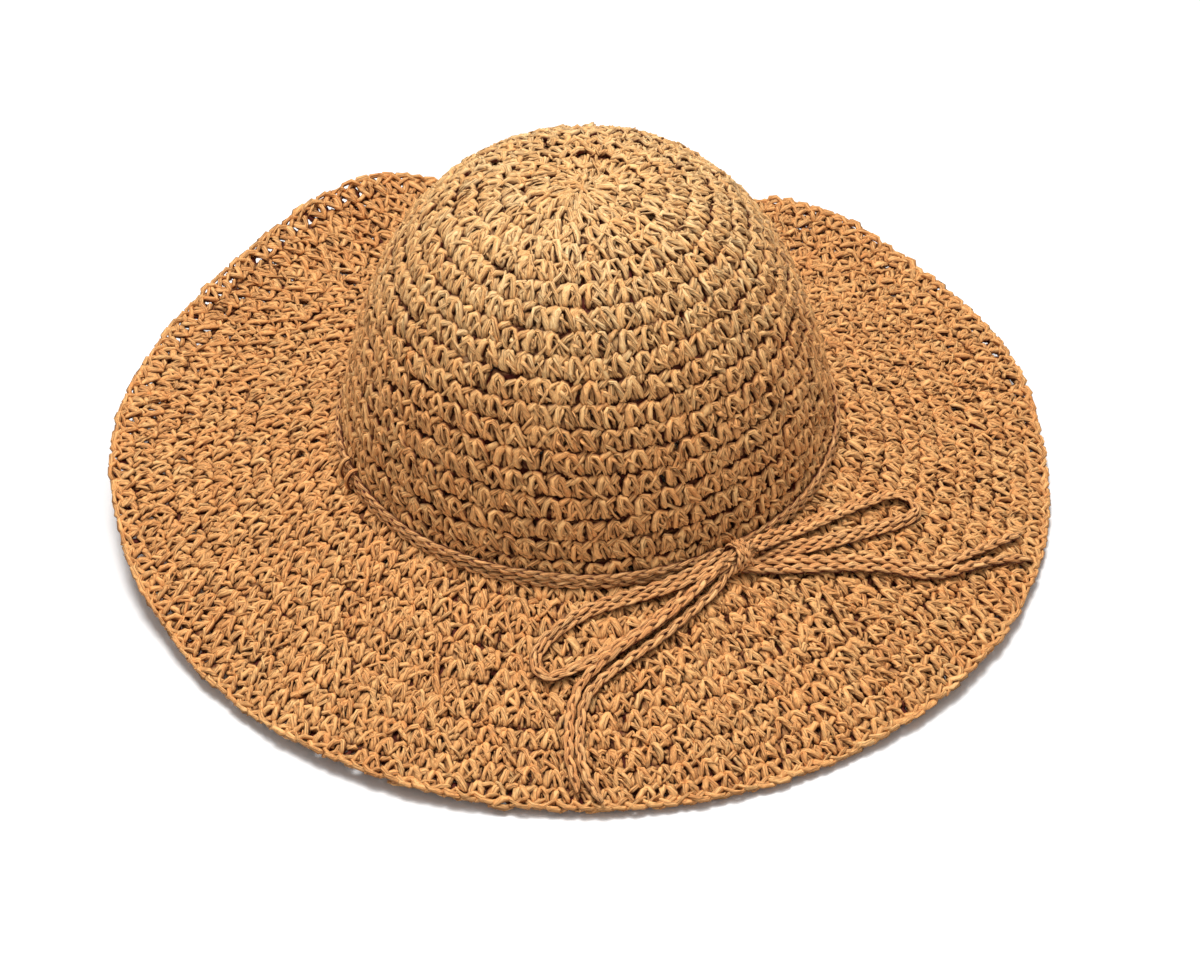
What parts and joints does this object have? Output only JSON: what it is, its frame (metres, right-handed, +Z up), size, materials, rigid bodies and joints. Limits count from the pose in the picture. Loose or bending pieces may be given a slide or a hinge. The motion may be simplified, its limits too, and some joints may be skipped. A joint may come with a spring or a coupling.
{
  "type": "crocheted straw sun hat",
  "caption": "Crocheted paper-straw sun hat with a domed crown, a wide sloping brim that turns up at the back, an inner sweatband and a doubled crocheted cord tied in a bow.",
  "frame": {"origin": "centre of the head opening, at the line where crown and brim meet", "axes": "+Z up towards the tip of the crown, -Y towards the side that carries the bow's front tail, +X towards the side of its other tail"},
  "size_m": [0.3759, 0.372, 0.151],
  "materials": {
    "straw": "crocheted twisted paper straw, matt with a faint sheen on the creases",
    "tie": "crocheted chain of the same twisted paper straw",
    "ribbon": "ribbed grosgrain ribbon",
    "thread": "sewing thread"
  },
  "bodies": {
    "root": {"crown_start_ring": "straw", "crown_round_01": "straw", "crown_round_02": "straw", "crown_round_03": "straw", "crown_round_04": "straw", "crown_round_05": "straw", "crown_round_06": "straw", "crown_round_07": "straw", "crown_round_08": "straw", "crown_round_09": "straw", "crown_round_10": "straw", "crown_round_11": "straw", "crown_round_12": "straw", "crown_round_13": "straw", "crown_round_14": "straw", "crown_round_15": "straw", "crown_round_16": "straw", "crown_round_17": "straw", "crown_round_18": "straw", "brim_round_01": "straw", "brim_round_02": "straw", "brim_round_03": "straw", "brim_round_04": "straw", "brim_round_05": "straw", "brim_round_06": "straw", "brim_round_07": "straw", "brim_round_08": "straw", "brim_round_09": "straw", "brim_round_10": "straw", "brim_round_11": "straw", "brim_edging": "straw", "sweatband": "ribbon", "sweatband_hem": "ribbon", "sweatband_stitches": "thread", "tie_strand_lower": "tie", "tie_strand_upper": "tie", "tie_keeper_stitch": "tie", "bow_knot": "tie", "bow_loop_left": "tie", "bow_loop_right": "tie", "bow_tail_front_inner": "tie", "bow_tail_front_outer": "tie", "bow_tail_right_inner": "tie", "bow_tail_right_outer": "tie"}
  },
  "joints": []
}
